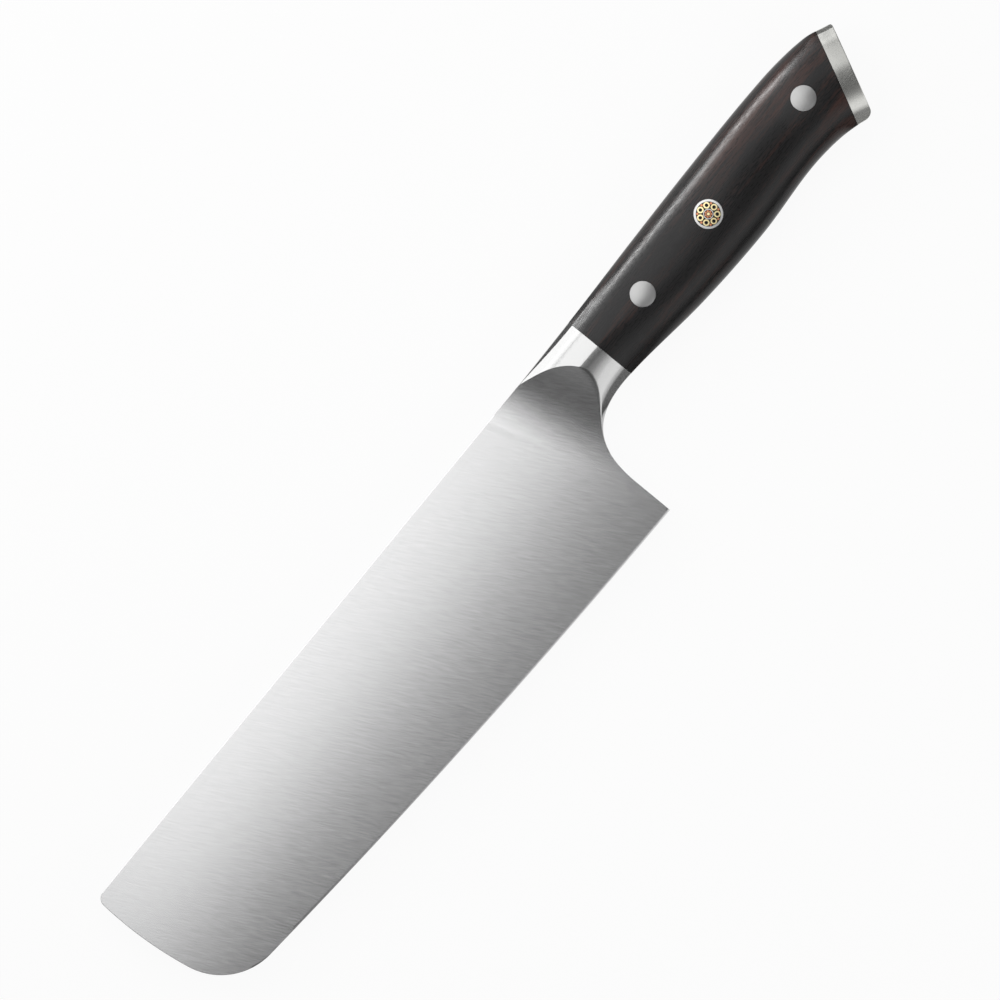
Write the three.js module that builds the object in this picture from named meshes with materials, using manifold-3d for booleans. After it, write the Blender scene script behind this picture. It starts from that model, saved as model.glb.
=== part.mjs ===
// Nakiri kitchen knife: one steel plate is both blade and full tang, with a welded bolster half on each
// side, two wooden scales held by two cutler's rivets and a mosaic pin, and a slanted steel butt cap.
// Sizes are millimetres. While the pieces are made, x runs from the nose to the butt and is 0 where the
// scales meet the bolster, y is 0 on the blade's spine and grows away from the edge, and z is 0 on the
// middle plane of the blade. The left side, with z above 0, faces up when the knife lies down.
import * as THREE from 'three';
import { mergeVertices } from 'three/addons/utils/BufferGeometryUtils.js';
import Module from 'manifold-3d';

// Blade
const bladeLength = 179.8;
const heelHeight = 52.9;
const spineThickness = 2.2;
const tipThickness = 1.9;
const edgeThickness = 0.4;
const bevelAngle = 15;
const edgeRadius = 2300;
const edgeLowPoint = 23.3; // the edge arc is lowest this far behind the heel
const noseRadius = 110;
const noseDrop = 10; // the nose reaches furthest forward this far below the spine
const noseSpineRadius = 2.6;
const noseEdgeRadius = 18.5;

// Choil, the curve from the heel up into the bolster
const heelAhead = 21.7; // heel to the joint of bolster and scales
const choilStart = 41; // below the spine
const choilRise = 16;
const choilReach = 13.8;
const choilTop = 20.6; // below the spine, where the curve aims before the joint

// Hollow-ground run-out from the blade up onto the bolster
const rampAhead = 35.1; // its start on the spine, ahead of the joint
const rampRadius = 49.5;
const rampSlant = 16; // degrees from square to the spine

// Handle outline, heights from the line of the spine
const handleLength = 109.5; // joint to butt face, along the line of the spine
const neckAt = 28; // behind the joint
const swellAt = 52;
const waistFromButt = 32;
const hookFromButt = 19.5;
const jointSpine = 0.37;
const neckSpine = 1.24;
const swellSpine = 1.78;
const waistSpine = 1.92;
const hookSpine = 1.5;
const buttSpine = -2.6;
const jointBelly = 21.4;
const neckBelly = 24.2;
const swellBelly = 25;
const waistBelly = 24;
const hookBelly = 25.9;
const buttBelly = 37;

// Handle width across the sides and how full its section is: 2 is an ellipse, more is squarer
const bolsterWidth = 14.6;
const neckWidth = 17.2;
const swellWidth = 18.4;
const waistWidth = 17.4;
const buttWidth = 19.2;
const bolsterCrown = 1.6; // spine side of the bolster
const bolsterUnder = 1.35; // choil side of the bolster
const gripFullness = 2.3;
const buttFullness = 3.4;

// Butt cap
const capThickness = 4.8;
const capTilt = 26.3; // degrees, the spine side reaches further back
const capSpineRim = 0.8;
const capBellyRim = 2.4;
const tongueLength = 3;
const tongueHeight = 12;
const tongueDrop = 9; // top of the tongue below the line of the spine, along the butt face

// Rivets and mosaic pin
const pinDrop = 10.2; // below the line of the spine
const frontRivetAt = 18.6; // behind the joint
const mosaicAt = 46.5;
const rearRivetFromButt = 22.6;
const rivetHead = 7;
const rivetBarrel = 5;
const rivetShank = 3.2;
const rivetSeat = 5; // the heads seat this far from the middle plane
const shankStop = 1; // room left past the end of the shank, and between barrel and head
const mosaicDiameter = 8;
const mosaicWall = 0.6;
const tubeCount = 7; // brass tubes in a ring, with a copper wire in each gap along the wall
const tubeGap = 0.3;
const brassTubeWall = 0.48;
const sleeveWall = 0.22;
const coreCount = 7; // copper wires in a ring inside the sleeve, round one brass wire

// Clearances
const glueLine = 0.1; // between tang, scales, bolster and cap
const pinFit = 0.05; // round the rivets and the mosaic pin
const resinFilm = 0.1; // resin between two pieces of the mosaic pin
const resinFit = 0.025; // round the resin itself
const edgeStock = 0.05; // left on the blank for the sharpened bevel to take off

// Facets
const sectionSteps = 22; // round one side of the handle, from spine to belly
const bolsterSteps = 15;
const gripSteps = 24;
const rimSteps = 5;
const outlineSteps = 12;
const edgeSteps = 24;
const rivetSides = 36;
const mosaicSides = 48;
const sleeveSides = 24;
const tubeSides = 16;
const wireSides = 10;
const overshoot = 20; // cutters and uncut pins reach this far past what they meet
const weld = 1e-4; // corners closer than this are one corner
const curveError = 1e-6;
const leanPasses = 20;

const wasm = await Module();
wasm.setup();

// Derived places
const tangHalf = spineThickness / 2;
const sideFace = tangHalf + glueLine; // inner face of the scales and of the bolster halves
const heelX = -heelAhead;
const noseX = heelX - bladeLength;
const rearRivetAt = handleLength - rearRivetFromButt;
const tilt = THREE.MathUtils.degToRad(capTilt);
const slant = THREE.MathUtils.degToRad(rampSlant);
const capFront = -capThickness; // along the butt's normal, from the butt face

// Geometry with only positions, shared corners merged and no empty triangles
function closed(source) {
  const bare = new THREE.BufferGeometry();
  bare.setAttribute('position', source.getAttribute('position').clone());
  bare.setIndex(source.index ? source.index.clone() : null);
  const merged = mergeVertices(bare, weld);
  const corners = [];
  for (let i = 0; i < merged.index.count; i += 3) {
    const triangle = [0, 1, 2].map((n) => merged.index.getX(i + n));
    if (new Set(triangle).size === 3) corners.push(...triangle);
  }
  return merged.setIndex(corners);
}

// The same form on the other side of the middle plane
function mirrored(source) {
  const copy = closed(source).scale(1, 1, -1);
  const corners = [];
  for (let i = 0; i < copy.index.count; i += 3) {
    corners.push(copy.index.getX(i), copy.index.getX(i + 2), copy.index.getX(i + 1));
  }
  return copy.setIndex(corners);
}

function solid(source) {
  const body = closed(source);
  const vertProperties = new Float32Array(body.getAttribute('position').array);
  const triVerts = new Uint32Array(body.index.array);
  return new wasm.Manifold(new wasm.Mesh({ numProp: 3, vertProperties, triVerts }));
}

function surface(body) {
  const mesh = body.getMesh();
  const made = new THREE.BufferGeometry();
  made.setAttribute('position', new THREE.BufferAttribute(mesh.vertProperties, 3));
  made.setIndex(new THREE.BufferAttribute(mesh.triVerts, 1));
  made.computeVertexNormals();
  return made;
}

// Closed form through convex rings of equal length that turn from the spine over the left side
function loft(rings) {
  const count = rings[0].length;
  const corners = [];
  for (let i = 0; i < rings.length - 1; i += 1) {
    for (let j = 0; j < count; j += 1) {
      const here = i * count + j;
      const next = i * count + ((j + 1) % count);
      corners.push(here, next, next + count, here, next + count, here + count);
    }
  }
  const last = (rings.length - 1) * count;
  for (let j = 1; j < count - 1; j += 1) {
    corners.push(0, j + 1, j, last, last + j, last + j + 1);
  }
  const made = new THREE.BufferGeometry().setFromPoints(rings.flat());
  return made.setIndex(corners);
}

// Round bar across the knife, from one z to another
function bar(diameter, from, to, x, y, sides) {
  const round = new THREE.CylinderGeometry(diameter / 2, diameter / 2, to - from, sides);
  return round.rotateX(Math.PI / 2).translate(x, y, (from + to) / 2);
}

// Smooth value along the handle through one value at each station
const stations = [
  -rampAhead,
  0,
  neckAt,
  swellAt,
  handleLength - waistFromButt,
  handleLength - hookFromButt,
  handleLength,
];
function along(values) {
  const curve = new THREE.CubicInterpolant(stations, values, 1);
  return (x) => curve.evaluate(x)[0];
}
const spineLine = along([0, jointSpine, neckSpine, swellSpine, waistSpine, hookSpine, buttSpine]);
const bellyLine = along(
  [jointBelly, jointBelly, neckBelly, swellBelly, waistBelly, hookBelly, buttBelly].map((drop) => -drop),
);
const widths = [bolsterWidth, bolsterWidth, neckWidth, swellWidth, waistWidth, buttWidth, buttWidth];
const halfWidth = along(widths.map((width) => width / 2));
const grips = [gripFullness, gripFullness, gripFullness, buttFullness, buttFullness];
const crownFullness = along([bolsterCrown, bolsterCrown, ...grips]);
const underFullness = along([bolsterUnder, bolsterUnder, ...grips]);

// Choil curve from the straight heel to the joint, and its height at any x
const choil = new THREE.CubicBezierCurve(
  new THREE.Vector2(heelX, -choilStart),
  new THREE.Vector2(heelX, choilRise - choilStart),
  new THREE.Vector2(-choilReach, -choilTop),
  new THREE.Vector2(0, -jointBelly),
);
function choilLine(x) {
  let low = 0;
  let high = 1;
  while (high - low > curveError) {
    const middle = (low + high) / 2;
    if (choil.getPoint(middle).x < x) low = middle;
    else high = middle;
  }
  return choil.getPoint(high).y;
}
function underLine(x) {
  return x < 0 ? choilLine(x) : bellyLine(x);
}

// Point of the handle's left side: turn 0 is on the spine, 1 on the belly, both at the inner face
function sidePoint(x, turn) {
  const share = Math.cos(Math.PI * turn);
  const crest = (spineLine(x) + bellyLine(x)) / 2;
  const reach = share > 0 ? spineLine(x) - crest : crest - underLine(x);
  const fullness = share > 0 ? crownFullness(x) : underFullness(x);
  const bulge = Math.sqrt(1 - Math.abs(share) ** fullness);
  return new THREE.Vector3(x, crest + share * reach, sideFace + (halfWidth(x) - sideFace) * bulge);
}

// The same point on a plane leaned by an angle, given where that plane crosses the line of the spine
function leanedPoint(crossing, lean, turn) {
  let point = sidePoint(crossing, turn);
  for (let pass = 0; pass < leanPasses; pass += 1) {
    point = sidePoint(crossing + Math.tan(lean) * point.y, turn);
  }
  return point;
}
function buttCrossing(depth) {
  return handleLength + depth / Math.cos(tilt);
}
function leftRing(crossing, lean) {
  return Array.from({ length: sectionSteps + 1 }, (_, i) => leanedPoint(crossing, lean, i / sectionSteps));
}
function wholeRing(left) {
  const right = left.map((point) => new THREE.Vector3(point.x, point.y, -point.z)).reverse();
  return [...left, ...right];
}
// Rings of the grip, square at the bolster and leaned like the cap at its rear end
function gripRings(front, rear) {
  return Array.from({ length: gripSteps + 1 }, (_, i) => {
    const share = i / gripSteps;
    return leftRing(THREE.MathUtils.lerp(front, rear, share), tilt * share);
  });
}
// Place in the plane of the blade: depth along the butt's normal, drop along the butt face
function buttPlace(depth, drop) {
  return new THREE.Vector2(
    handleLength + depth * Math.cos(tilt) - drop * Math.sin(tilt),
    -depth * Math.sin(tilt) - drop * Math.cos(tilt),
  );
}

// Outline of the plate: nose and edge arcs that flow into each other, heel, choil, tang and tongue
function plateOutline() {
  const outline = new THREE.Shape();
  const nose = new THREE.Vector2(noseX + noseRadius, -noseDrop);
  const stockRadius = edgeRadius + edgeStock;
  const edge = new THREE.Vector2(heelX + edgeLowPoint, edgeCentreY());
  const corner = tangentCentre(nose, noseRadius - noseEdgeRadius, edge, stockRadius - noseEdgeRadius);
  const spineReach = Math.sqrt((noseRadius - noseSpineRadius) ** 2 - (noseDrop - noseSpineRadius) ** 2);
  const spineCorner = new THREE.Vector2(nose.x - spineReach, -noseSpineRadius);
  const cornerOnEdge = corner.clone().sub(edge).angle();
  const cornerOnNose = corner.clone().sub(nose).angle();
  const spineOnNose = spineCorner.clone().sub(nose).angle();
  const heelY = edge.y - Math.sqrt(stockRadius ** 2 - edgeLowPoint ** 2);
  const heelAngle = Math.atan2(heelY - edge.y, heelX - edge.x);
  const tangEnd = buttCrossing(capFront - glueLine);

  outline.moveTo(spineCorner.x, 0);
  outline.lineTo(-rampAhead, 0);
  for (let i = 1; i <= gripSteps; i += 1) {
    const x = THREE.MathUtils.lerp(-rampAhead, leanedPoint(tangEnd, tilt, 0).x, i / gripSteps);
    outline.lineTo(x, spineLine(x));
  }
  const tongueRoot = capFront - glueLine;
  const tongueTip = tongueRoot + tongueLength;
  for (const [depth, drop] of [
    [tongueRoot, tongueDrop],
    [tongueTip, tongueDrop],
    [tongueTip, tongueDrop + tongueHeight],
    [tongueRoot, tongueDrop + tongueHeight],
  ]) {
    const place = buttPlace(depth, drop);
    outline.lineTo(place.x, place.y);
  }
  for (let i = gripSteps; i >= 0; i -= 1) {
    const x = THREE.MathUtils.lerp(0, leanedPoint(tangEnd, tilt, 1).x, i / gripSteps);
    outline.lineTo(x, bellyLine(x));
  }
  for (const point of choil.getPoints(outlineSteps * 2).reverse().slice(1)) {
    outline.lineTo(point.x, point.y);
  }
  outline.lineTo(heelX, heelY);
  outline.absarc(edge.x, edge.y, stockRadius, heelAngle, cornerOnEdge, true);
  outline.absarc(corner.x, corner.y, noseEdgeRadius, cornerOnEdge, cornerOnNose, true);
  outline.absarc(nose.x, nose.y, noseRadius, cornerOnNose, spineOnNose, true);
  outline.absarc(spineCorner.x, spineCorner.y, noseSpineRadius, spineOnNose, Math.PI / 2, true);
  return outline;
}
// Height of the centre of the edge arc, which passes through the heel
function edgeCentreY() {
  return -heelHeight + Math.sqrt(edgeRadius ** 2 - edgeLowPoint ** 2);
}
// Foremost of the two points at given distances from two centres
function tangentCentre(first, firstReach, second, secondReach) {
  const line = second.clone().sub(first);
  const span = line.length();
  const foot = (firstReach ** 2 - secondReach ** 2 + span ** 2) / (2 * span);
  const side = Math.sqrt(firstReach ** 2 - foot ** 2);
  line.normalize();
  const across = new THREE.Vector2(-line.y, line.x);
  if (across.x > 0) across.negate();
  return first.clone().addScaledVector(line, foot).addScaledVector(across, side);
}

// What the grinding wheel takes off the left side: the flat of the blade, then the hollow ramp, drawn as
// a profile across the ramp and run along the wheel's path, leaning in toward the edge and the nose
function leftGrind() {
  const noseTaper = (spineThickness - tipThickness) / 2 / (-rampAhead - noseX);
  const heelSpineHalf = tangHalf + noseTaper * (heelX + rampAhead);
  const edgeTaper = (heelSpineHalf - edgeThickness / 2) / heelHeight;
  const across = new THREE.Vector3(Math.cos(slant), Math.sin(slant), 0);
  const path = new THREE.Vector3(Math.sin(slant), -Math.cos(slant), 0);
  across.z = across.x * noseTaper + across.y * edgeTaper;
  path.z = path.x * noseTaper + path.y * edgeTaper;

  const rise = bolsterWidth;
  const sweep = Math.acos(1 - rise / rampRadius);
  const profile = new THREE.Shape();
  const noseReach = bladeLength + rampAhead + overshoot;
  profile.moveTo(-noseReach, 0);
  profile.lineTo(0, 0);
  profile.absarc(0, rampRadius, rampRadius, -Math.PI / 2, sweep - Math.PI / 2, false);
  profile.lineTo(rampRadius * Math.sin(sweep), rise + overshoot);
  profile.lineTo(-noseReach, rise + overshoot);
  const pathLength = heelHeight * 2 + bladeLength + overshoot;
  const wheel = new THREE.ExtrudeGeometry(profile, {
    depth: pathLength,
    curveSegments: outlineSteps,
    bevelEnabled: false,
  });
  wheel.translate(0, 0, -bladeLength * Math.tan(slant) - overshoot);
  const frame = new THREE.Matrix4().makeBasis(across, new THREE.Vector3(0, 0, 1), path);
  return wheel.applyMatrix4(frame.setPosition(-rampAhead, 0, tangHalf));
}

// What sharpening takes off the left side, along the edge arc and off both of its ends
function leftSharpening() {
  const lean = Math.tan(THREE.MathUtils.degToRad(bevelAngle));
  const deep = edgeThickness / lean;
  const centre = new THREE.Vector2(heelX + edgeLowPoint, edgeCentreY());
  const from = (noseX - overshoot - centre.x) / edgeRadius;
  const to = (heelX + noseEdgeRadius - centre.x) / edgeRadius;
  const rings = Array.from({ length: edgeSteps + 1 }, (_, i) => {
    const angle = THREE.MathUtils.lerp(from, to, i / edgeSteps);
    const outward = new THREE.Vector2(Math.sin(angle), -Math.cos(angle));
    return [
      [deep, deep * lean],
      [deep, spineThickness],
      [-deep, spineThickness],
      [-deep, -deep * lean],
    ].map(([inward, z]) => {
      const reach = edgeRadius - inward;
      return new THREE.Vector3(centre.x + outward.x * reach, centre.y + outward.y * reach, z);
    });
  });
  return loft(rings);
}

function finish(color, roughness, metalness) {
  return new THREE.MeshStandardMaterial({ color, roughness, metalness });
}
const satinSteel = () => finish(0xc9cacb, 0.38, 1);
const polishedSteel = () => finish(0xd6d7d8, 0.15, 1);
const ebony = () => finish(0x2b2423, 0.42, 0);
const brass = () => finish(0xd9be72, 0.3, 1);
const copper = () => finish(0xb8704f, 0.32, 1);
const resin = () => finish(0x0b0b0c, 0.35, 0);

const knife = new THREE.Group();
function place(name, body, material) {
  const mesh = new THREE.Mesh(surface(body), material);
  mesh.name = name;
  knife.add(mesh);
}

// Blade and tang: the cut plate, then both sides ground and sharpened
const pins = [
  { x: frontRivetAt, diameter: rivetBarrel, sides: rivetSides },
  { x: mosaicAt, diameter: mosaicDiameter, sides: mosaicSides },
  { x: rearRivetAt, diameter: rivetBarrel, sides: rivetSides },
];
const plate = new THREE.ExtrudeGeometry(plateOutline(), {
  depth: spineThickness,
  curveSegments: outlineSteps,
  bevelEnabled: false,
}).translate(0, 0, -tangHalf);
const grind = leftGrind();
const sharpening = leftSharpening();
function pinHole(pin) {
  return solid(bar(pin.diameter + 2 * pinFit, -overshoot, overshoot, pin.x, -pinDrop, pin.sides));
}
let blade = solid(plate);
for (const cutter of [grind, mirrored(grind), sharpening, mirrored(sharpening)]) {
  blade = blade.subtract(solid(cutter));
}
for (const pin of pins) blade = blade.subtract(pinHole(pin));
place('blade', blade, satinSteel());

// Bolster halves: the front of the handle's form, ground by the same wheel as the blade
const bolsterRings = Array.from({ length: bolsterSteps + 1 }, (_, i) => {
  const x = -rampAhead * (1 - i / bolsterSteps);
  return leftRing(x, 0);
});
const bolsterForm = loft(bolsterRings);
place('bolster_left', solid(bolsterForm).subtract(solid(grind)), polishedSteel());
place('bolster_right', solid(mirrored(bolsterForm)).subtract(solid(mirrored(grind))), polishedSteel());

// Scales, bored for the pins and counterbored for the rivet heads
const gripRear = buttCrossing(capFront - glueLine);
const scaleRings = gripRings(glueLine, gripRear);
const scaleForm = loft(scaleRings);
function scale(form, side) {
  let body = solid(form);
  for (const pin of pins) body = body.subtract(pinHole(pin));
  for (const x of [frontRivetAt, rearRivetAt]) {
    const counterbore = bar(rivetHead + 2 * pinFit, rivetSeat, overshoot, x, -pinDrop, rivetSides);
    body = body.subtract(solid(side > 0 ? counterbore : mirrored(counterbore)));
  }
  return body;
}
place('scale_left', scale(scaleForm, 1), ebony());
place('scale_right', scale(mirrored(scaleForm), -1), ebony());

// Butt cap: rings on planes of the butt, the rim rounded more at the belly than at the spine
function capRing(share) {
  const angle = share * Math.PI / 2;
  const left = Array.from({ length: sectionSteps + 1 }, (_, i) => {
    const turn = i / sectionSteps;
    const rim = THREE.MathUtils.lerp(capSpineRim, capBellyRim, turn);
    const point = leanedPoint(buttCrossing(rim * (Math.sin(angle) - 1)), tilt, turn);
    const middle = leanedPoint(buttCrossing(rim * (Math.sin(angle) - 1)), tilt, 0.5);
    const centre = new THREE.Vector3(middle.x, middle.y, 0);
    const inset = rim * (1 - Math.cos(angle));
    return point.lerp(centre, inset / point.distanceTo(centre));
  });
  return wholeRing(left);
}
const capRings = [wholeRing(leftRing(buttCrossing(capFront), tilt))];
for (let i = 0; i <= rimSteps; i += 1) capRings.push(capRing(i / rimSteps));
const slotCentre = buttPlace(capFront + (tongueLength - glueLine) / 2, tongueDrop + tongueHeight / 2);
const slot = new THREE.BoxGeometry(
  tongueLength + glueLine,
  tongueHeight + 2 * glueLine,
  spineThickness + 2 * glueLine,
);
slot.rotateZ(-tilt).translate(slotCentre.x, slotCentre.y, 0);
place('butt_cap', solid(loft(capRings)).subtract(solid(slot)), polishedSteel());

// Cutler's rivets: a stud pressed into a socket, heads ground flush with the scales
const gripForm = solid(loft(scaleRings.map(wholeRing)));
function turned(outline, x) {
  const points = outline.map(([radius, height]) => new THREE.Vector2(radius, height));
  const lathe = new THREE.LatheGeometry(points, rivetSides).rotateX(Math.PI / 2);
  return lathe.translate(x, -pinDrop, 0);
}
function rivet(name, x) {
  const bore = rivetShank / 2 + pinFit;
  const socket = turned(
    [
      [0, rivetSeat - shankStop],
      [bore, rivetSeat - shankStop],
      [bore, shankStop - rivetSeat],
      [rivetBarrel / 2, shankStop - rivetSeat],
      [rivetBarrel / 2, rivetSeat],
      [rivetHead / 2, rivetSeat],
      [rivetHead / 2, overshoot],
      [0, overshoot],
    ],
    x,
  );
  const stud = turned(
    [
      [0, -overshoot],
      [rivetHead / 2, -overshoot],
      [rivetHead / 2, -rivetSeat],
      [rivetShank / 2, -rivetSeat],
      [rivetShank / 2, rivetSeat - 2 * shankStop],
      [0, rivetSeat - 2 * shankStop],
    ],
    x,
  );
  place(`${name}_socket`, solid(socket).intersect(gripForm), satinSteel());
  place(`${name}_stud`, solid(stud).intersect(gripForm), satinSteel());
}
rivet('front_rivet', frontRivetAt);
rivet('rear_rivet', rearRivetAt);

// Mosaic pin: rods set in black resin inside a tube, cut from one long bar and ground flush
function ringRadius(bore, count, gap) {
  const half = Math.sin(Math.PI / count);
  return ((bore / 2 - resinFilm) * half - gap / 2) / (1 + half);
}
const mosaicBore = mosaicDiameter - 2 * mosaicWall;
const tubeRadius = ringRadius(mosaicBore, tubeCount, tubeGap);
const tubePitch = mosaicBore / 2 - resinFilm - tubeRadius;
const tubeBore = 2 * (tubeRadius - brassTubeWall);
// A copper wire touches the resin on the wall and on the two brass tubes beside it
const wallReach = mosaicBore / 2 - resinFilm;
const tubeReach = tubeRadius + resinFilm;
const tubeForward = tubePitch * Math.cos(Math.PI / tubeCount);
const wireRoom = wallReach ** 2 + tubePitch ** 2 - 2 * wallReach * tubeForward - tubeReach ** 2;
const wireRadius = wireRoom / (2 * (wallReach - tubeForward + tubeReach));
const wirePitch = wallReach - wireRadius;
const sleeveDiameter = 2 * (tubePitch - tubeRadius - resinFilm);
const sleeveBore = sleeveDiameter - 2 * sleeveWall;
const coreRadius = ringRadius(sleeveBore, coreCount, resinFilm);
const corePitch = sleeveBore / 2 - resinFilm - coreRadius;
const coreBrass = 2 * (corePitch - coreRadius - resinFilm);

function rod(diameter, pitch, turn, sides) {
  const x = mosaicAt + pitch * Math.cos(2 * Math.PI * turn);
  const y = -pinDrop + pitch * Math.sin(2 * Math.PI * turn);
  return solid(bar(diameter, -overshoot, overshoot, x, y, sides));
}
function pipe(outside, bore, pitch, turn, sides) {
  return rod(outside, pitch, turn, sides).subtract(rod(bore, pitch, turn, sides));
}
function mosaicPiece(name, body, material) {
  place(`mosaic_${name}`, body.intersect(gripForm), material);
}
mosaicPiece('tube', pipe(mosaicDiameter, mosaicBore, 0, 0, mosaicSides), satinSteel());
let filling = rod(mosaicBore - 2 * resinFit, 0, 0, mosaicSides);
for (let i = 0; i < tubeCount; i += 1) {
  const onTube = i / tubeCount;
  const between = (i + 0.5) / tubeCount;
  const brassTube = pipe(2 * tubeRadius, tubeBore, tubePitch, onTube, tubeSides);
  const boreResin = rod(tubeBore - 2 * resinFit, tubePitch, onTube, tubeSides);
  mosaicPiece(`brass_tube_${i + 1}`, brassTube, brass());
  mosaicPiece(`bore_resin_${i + 1}`, boreResin, resin());
  mosaicPiece(`copper_wire_${i + 1}`, rod(2 * wireRadius, wirePitch, between, wireSides), copper());
  filling = filling.subtract(rod(2 * (tubeRadius + resinFit), tubePitch, onTube, tubeSides));
  filling = filling.subtract(rod(2 * (wireRadius + resinFit), wirePitch, between, wireSides));
}
filling = filling.subtract(rod(sleeveDiameter + 2 * resinFit, 0, 0, sleeveSides));
mosaicPiece('resin', filling, resin());
mosaicPiece('core_sleeve', pipe(sleeveDiameter, sleeveBore, 0, 0, sleeveSides), satinSteel());
mosaicPiece('core_brass', rod(coreBrass, 0, 0, wireSides), brass());
let coreFilling = rod(sleeveBore - 2 * resinFit, 0, 0, sleeveSides);
coreFilling = coreFilling.subtract(rod(coreBrass + 2 * resinFit, 0, 0, wireSides));
for (let i = 0; i < coreCount; i += 1) {
  const turn = i / coreCount;
  mosaicPiece(`core_copper_${i + 1}`, rod(2 * coreRadius, corePitch, turn, wireSides), copper());
  coreFilling = coreFilling.subtract(rod(2 * (coreRadius + resinFit), corePitch, turn, wireSides));
}
mosaicPiece('core_resin', coreFilling, resin());

// The knife lies on its right side, with the origin under the middle of its box
const extent = new THREE.Box3().setFromObject(knife);
const middle = extent.getCenter(new THREE.Vector3());
knife.position.set(-middle.x, -middle.y, -extent.min.z);
const part = new THREE.Group();
part.add(knife);
export default part;
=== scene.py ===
import bmesh
import bpy
import math
import numpy as np
from mathutils import Matrix, Vector


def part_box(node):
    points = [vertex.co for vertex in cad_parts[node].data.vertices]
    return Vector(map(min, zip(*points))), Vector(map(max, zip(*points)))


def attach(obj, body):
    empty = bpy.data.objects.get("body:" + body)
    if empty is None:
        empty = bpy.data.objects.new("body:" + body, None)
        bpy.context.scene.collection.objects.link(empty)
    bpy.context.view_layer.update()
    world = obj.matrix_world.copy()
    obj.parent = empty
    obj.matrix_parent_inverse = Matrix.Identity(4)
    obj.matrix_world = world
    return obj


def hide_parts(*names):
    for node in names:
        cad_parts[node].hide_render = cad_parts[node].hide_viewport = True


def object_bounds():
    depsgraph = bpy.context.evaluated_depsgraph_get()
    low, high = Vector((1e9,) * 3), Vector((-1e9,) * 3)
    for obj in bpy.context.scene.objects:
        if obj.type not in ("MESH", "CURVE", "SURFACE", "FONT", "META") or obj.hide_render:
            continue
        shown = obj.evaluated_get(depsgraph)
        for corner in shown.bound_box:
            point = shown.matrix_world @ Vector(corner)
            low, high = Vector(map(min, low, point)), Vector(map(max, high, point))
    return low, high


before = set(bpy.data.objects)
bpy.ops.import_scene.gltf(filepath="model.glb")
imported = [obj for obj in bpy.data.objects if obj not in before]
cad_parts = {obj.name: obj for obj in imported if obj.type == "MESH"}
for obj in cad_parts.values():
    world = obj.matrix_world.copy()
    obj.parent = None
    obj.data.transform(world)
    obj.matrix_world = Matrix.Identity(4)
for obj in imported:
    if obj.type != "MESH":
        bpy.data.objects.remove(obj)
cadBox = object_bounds()
mm = 0.001

# Sizes are millimetres where no note says metres, from the spine's line (y), the joint of bolster
# and wood (x) and the middle of the plate (z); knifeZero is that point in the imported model's frame.
plateLow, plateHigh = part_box("blade")
rivetLow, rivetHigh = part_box("front_rivet_socket")

outline = {
    "noseX": -201.5, "noseRadius": 110.0, "noseDrop": 10.0, "noseSpineRadius": 2.6, "noseEdgeRadius": 18.5,
    "heelX": -21.7, "heelHeight": 52.9, "edgeRadius": 2300.0, "edgeLowPoint": 23.3,
    "choilStart": 41.0, "choilRise": 16.0, "choilReach": 13.8, "choilTop": 20.6,
}
ramp = {"ahead": 35.1, "radius": 49.5, "slant": math.radians(16), "furthest": 0.95}
plate = {"spine": 2.2, "tip": 1.9, "edge": 0.4, "crown": 0.25, "glue": 0.1}
handle = {
    # one value for each station along the handle
    "stations": (-35.1, 0, 28, 52, 77.5, 90, 100, 109.5),
    "spine": (0, 0.37, 1.24, 1.78, 1.92, 1.4, -0.15, -3.4),
    "belly": (-21.4, -21.4, -24.2, -25, -24, -25.9, -30.2, -37),
    "half": (5.8, 7.7, 8.7, 9.2, 8.7, 9.6, 9.6, 9.6),  # half the thickness
    "ridge": (0.9, 0.9, 0, 0, 0, 0, 0, 0),  # how far the thickest line lies above the middle
    "wall": (0, 0.4, 0.3, 0, 0, 0.5, 1.6, 1.8),  # upright strip along the edges
    "chamfer": (-0.5, 1.2, 0.3, 0, 0, 0.4, 1.1, 1.2),
    "crown": (1.7, 1.7, 2.3, 2.3, 2.3, 2.3, 2.0, 1.8),  # fullness towards the spine
    "under": (1.5, 1.5, 2.3, 2.3, 2.3, 2.3, 2.0, 1.8),  # fullness towards the belly
    # squared corners of bolster and butt; fades are start and length
    "steepest": (math.radians(32), math.radians(37)), "chamferSlope": math.radians(41),
    "cornerRadius": 0.15, "cornerFront": 24.0, "cornerRear": (97.0, 6.0),
    "wallFade": (-20.0, 18.0), "bellyWall": (0.0, 88.0), "choilFade": (-18.0, 9.0),
}
pins = {
    "drop": 10.2, "frontAt": 18.6, "mosaicAt": 46.5, "rearAt": 86.9, "rivet": 7.0, "mosaic": 8.0,
    "fit": 0.11, "holeSides": 96, "holeDepth": 40.0,
}
cap = {
    "length": 109.05, "thickness": 4.8, "tilt": math.radians(26.3), "rim": 0.15, "spineCorner": 0.8,
    "bellyCorner": 2.4, "turns": 160, "rimSteps": 5, "depthSteps": 16, "crease": 40,
    "across": (1, 0.97, 0.9, 0.5, 0, -0.5, -0.9, -0.97, -1),
}
fine = {"halvings": 40, "leanSteps": 20, "slantStep": 0.1, "merge": 1e-6, "sliver": 1e-7, "crease": 35}

knifeZero = Vector((
    plateLow.x - outline["noseX"] * mm,
    (rivetLow.y + rivetHigh.y) / 2 + pins["drop"] * mm,
    (plateLow.z + plateHigh.z) / 2,
))
tangHalf = plate["spine"] / 2
sideFace = tangHalf + plate["glue"]
capFront = cap["length"] - (cap["thickness"] + plate["glue"]) / math.cos(cap["tilt"])


def smooth(t):
    t = np.clip(t, 0, 1)
    return t * t * (3 - 2 * t)


def fadedIn(x, span):
    start, length = span
    return smooth((x - start) / length)


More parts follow.
